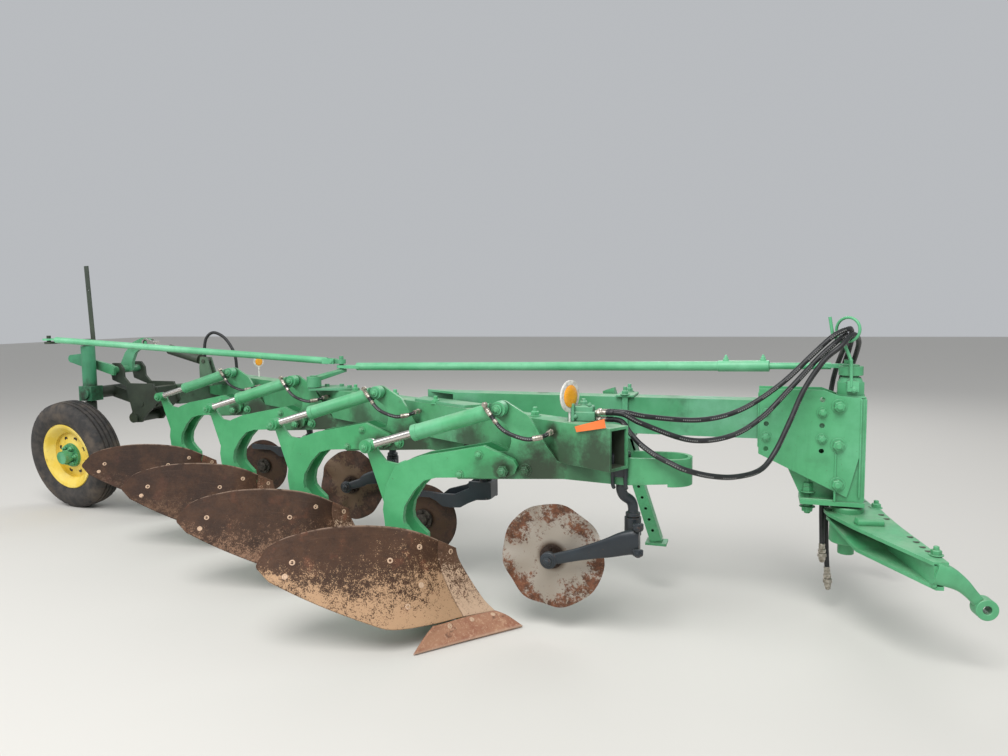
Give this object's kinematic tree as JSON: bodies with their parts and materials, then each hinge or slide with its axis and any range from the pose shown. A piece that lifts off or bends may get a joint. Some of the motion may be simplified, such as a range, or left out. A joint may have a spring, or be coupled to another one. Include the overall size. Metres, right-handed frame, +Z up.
{
  "type": "moldboard plough",
  "caption": "Semi-mounted moldboard plough with a diagonal frame, sprung-back hydraulic reset standards, rolling coulters, a swivelling hitch head and a steered, lifting tail wheel.",
  "frame": {"origin": "bottom centre of the whole machine, on the ground under the shares and the tyre", "axes": "+X forward (towards the tractor), +Y to the machine's left, +Z up"},
  "size_m": [5.319, 2.242, 1.5708],
  "materials": {
    "green_paint": "weathered green enamel, dusty",
    "dark_oily_paint": "green enamel under oily black grime",
    "black_paint": "blue-black paint, dull",
    "rusty_steel": "brown surface rust over scoured steel",
    "share_steel": "reddish rust",
    "chrome_rod": "ground and chromed",
    "yellow_paint": "yellow enamel, scuffed",
    "tyre_rubber": "ribbed, dusty",
    "zinc_fitting": "dull zinc plate",
    "hose_rubber": "smooth hose cover"
  },
  "bodies": {
    "frame": {"main_tube": "green_paint", "draft_beam": "green_paint", "mast": "green_paint", "mast_cap": "green_paint", "bracket_1": "green_paint", "bracket_2": "green_paint", "bracket_3": "green_paint", "bracket_4": "green_paint", "standard_1": "green_paint", "standard_2": "green_paint", "standard_3": "green_paint", "standard_4": "green_paint", "moldboard_1": "rusty_steel", "moldboard_2": "rusty_steel", "moldboard_3": "rusty_steel", "moldboard_4": "rusty_steel", "share_1": "share_steel", "share_2": "share_steel", "share_3": "share_steel", "share_4": "share_steel", "reset_barrels": "green_paint", "reset_rods": "chrome_rod", "coulter_shanks": "black_paint", "jumper_hoses": "hose_rubber", "hose_fittings": "zinc_fitting", "hose_a": "hose_rubber", "hose_b": "hose_rubber", "hose_c": "hose_rubber", "tail_hose": "hose_rubber", "hose_couplers": "zinc_fitting", "valve_block": "green_paint", "stand_clamp": "green_paint", "idler_base": "green_paint", "tail_beam": "dark_oily_paint", "tail_head": "dark_oily_paint"},
    "hitch": {"hitch_frame": "green_paint", "steer_shaft": "green_paint"},
    "front_rod": {"front_rod": "green_paint"},
    "idler": {"idler_arm": "green_paint"},
    "rod_swivel": {"rod_swivel": "green_paint"},
    "rear_rod": {"rear_rod": "green_paint", "rear_eye": "green_paint"},
    "lift_arm": {"lift_arm": "dark_oily_paint"},
    "lift_crank": {"lift_crank": "green_paint"},
    "post": {"post_housing": "green_paint"},
    "spindle": {"spindle": "dark_oily_paint", "eye_pin": "dark_oily_paint"},
    "wheel": {"wheel_rim": "yellow_paint", "tyre": "tyre_rubber"},
    "lift_barrel": {"lift_barrel": "dark_oily_paint"},
    "lift_rod": {"lift_rod": "chrome_rod"},
    "stand": {"parking_stand": "green_paint"},
    "coulter_arm_1": {"coulter_arm_1": "black_paint"},
    "coulter_disc_1": {"coulter_disc_1": "rusty_steel"},
    "coulter_arm_2": {"coulter_arm_2": "black_paint"},
    "coulter_disc_2": {"coulter_disc_2": "rusty_steel"},
    "coulter_arm_3": {"coulter_arm_3": "black_paint"},
    "coulter_disc_3": {"coulter_disc_3": "rusty_steel"},
    "coulter_arm_4": {"coulter_arm_4": "black_paint"},
    "coulter_disc_4": {"coulter_disc_4": "rusty_steel"}
  },
  "joints": [
    {"name": "hitch_swivel", "type": "hinge", "parent": "frame", "child": "hitch", "pos_m": [2.23194, -0.17146, 0.65], "axis": [0, 0, 1], "range_deg": [-25, 12]},
    {"name": "front_rod_turn", "type": "hinge", "parent": "hitch", "child": "front_rod", "pos_m": [2.23194, -0.04046, 1.011], "axis": [0, 0, 1], "range_deg": [-13, 26]},
    {"name": "idler_turn", "type": "hinge", "parent": "frame", "child": "idler", "pos_m": [-0.34306, 0.10854, 0.89], "axis": [0, 0, 1], "range_deg": [-17, 8.5]},
    {"name": "rod_swivel_turn", "type": "hinge", "parent": "idler", "child": "rod_swivel", "pos_m": [-0.28706, 0.29754, 0.978], "axis": [0, 0, 1], "range_deg": [-8, 16.5]},
    {"name": "rear_rod_pitch", "type": "hinge", "parent": "rod_swivel", "child": "rear_rod", "pos_m": [-0.33906, 0.29754, 0.978], "axis": [0, -1, 0], "range_deg": [-0.5, 4.5]},
    {"name": "tail_steer", "type": "hinge", "parent": "post", "child": "spindle", "pos_m": [-2.32006, 0.48754, 0.9], "axis": [0, 0, 1], "range_deg": [-5.5, 10.5]},
    {"name": "tail_lift", "type": "hinge", "parent": "frame", "child": "lift_crank", "pos_m": [-2.20206, 0.67754, 0.88], "axis": [0, -1, 0], "range_deg": [0, 24]},
    {"name": "lower_link_turn", "type": "hinge", "parent": "frame", "child": "lift_arm", "pos_m": [-2.00706, 0.69754, 0.655], "axis": [0, -1, 0], "range_deg": [-0.5, 24.5]},
    {"name": "post_level", "type": "hinge", "parent": "lift_arm", "child": "post", "pos_m": [-2.30706, 0.58754, 0.732], "axis": [0, -1, 0], "range_deg": [-24.5, 0.5]},
    {"name": "lift_barrel_tilt", "type": "hinge", "parent": "frame", "child": "lift_barrel", "pos_m": [-1.54706, 0.69954, 0.94], "axis": [0, -1, 0], "range_deg": [-4.6, 0.5]},
    {"name": "lift_rod_slide", "type": "slide", "parent": "lift_barrel", "child": "lift_rod", "axis": [-0.9689, 0, 0.2474], "range_m": [-0.001, 0.105]},
    {"name": "tail_wheel_spin", "type": "hinge", "parent": "spindle", "child": "wheel", "pos_m": [-2.30966, 0.33984, 0.3499], "axis": [0.085, 0.9912, 0.1011], "continuous": true},
    {"name": "coulter_caster_1", "type": "hinge", "parent": "frame", "child": "coulter_arm_1", "pos_m": [1.46394, -0.59246, 0.45], "axis": [0, 0, 1], "range_deg": [-12, 12]},
    {"name": "coulter_spin_1", "type": "hinge", "parent": "coulter_arm_1", "child": "coulter_disc_1", "pos_m": [1.15394, -0.59046, 0.303], "axis": [0, 1, 0], "continuous": true},
    {"name": "coulter_caster_2", "type": "hinge", "parent": "frame", "child": "coulter_arm_2", "pos_m": [0.73394, -0.18606, 0.45], "axis": [0, 0, 1], "range_deg": [-12, 12]},
    {"name": "coulter_spin_2", "type": "hinge", "parent": "coulter_arm_2", "child": "coulter_disc_2", "pos_m": [0.42994, -0.20406, 0.285], "axis": [0, 1, 0], "continuous": true},
    {"name": "coulter_caster_3", "type": "hinge", "parent": "frame", "child": "coulter_arm_3", "pos_m": [0.05394, 0.22034, 0.45], "axis": [0, 0, 1], "range_deg": [-12, 12]},
    {"name": "coulter_spin_3", "type": "hinge", "parent": "coulter_arm_3", "child": "coulter_disc_3", "pos_m": [-0.20006, 0.22234, 0.308], "axis": [0, 1, 0], "continuous": true},
    {"name": "coulter_caster_4", "type": "hinge", "parent": "frame", "child": "coulter_arm_4", "pos_m": [-0.72606, 0.62674, 0.45], "axis": [0, 0, 1], "range_deg": [-12, 12]},
    {"name": "coulter_spin_4", "type": "hinge", "parent": "coulter_arm_4", "child": "coulter_disc_4", "pos_m": [-1.05206, 0.60874, 0.287], "axis": [0, 1, 0], "continuous": true},
    {"name": "stand_slide", "type": "slide", "parent": "frame", "child": "stand", "axis": [-0.3057, 0, 0.9521], "range_m": [-0.235, 0]}
  ],
  "couplings": [
    {"joint": "front_rod_turn", "follows": "hitch_swivel", "ratio": -1.012},
    {"joint": "idler_turn", "follows": "hitch_swivel", "ratio": 0.64873},
    {"joint": "rod_swivel_turn", "follows": "hitch_swivel", "ratio": -0.62384},
    {"joint": "tail_steer", "follows": "hitch_swivel", "ratio": -0.39505},
    {"joint": "rear_rod_pitch", "follows": "tail_lift", "ratio": 0.15462},
    {"joint": "lower_link_turn", "follows": "tail_lift", "ratio": 1},
    {"joint": "post_level", "follows": "tail_lift", "ratio": -1},
    {"joint": "lift_barrel_tilt", "follows": "tail_lift", "ratio": -0.16936},
    {"joint": "lift_rod_slide", "follows": "tail_lift", "m_per_rad": 0.24031}
  ]
}
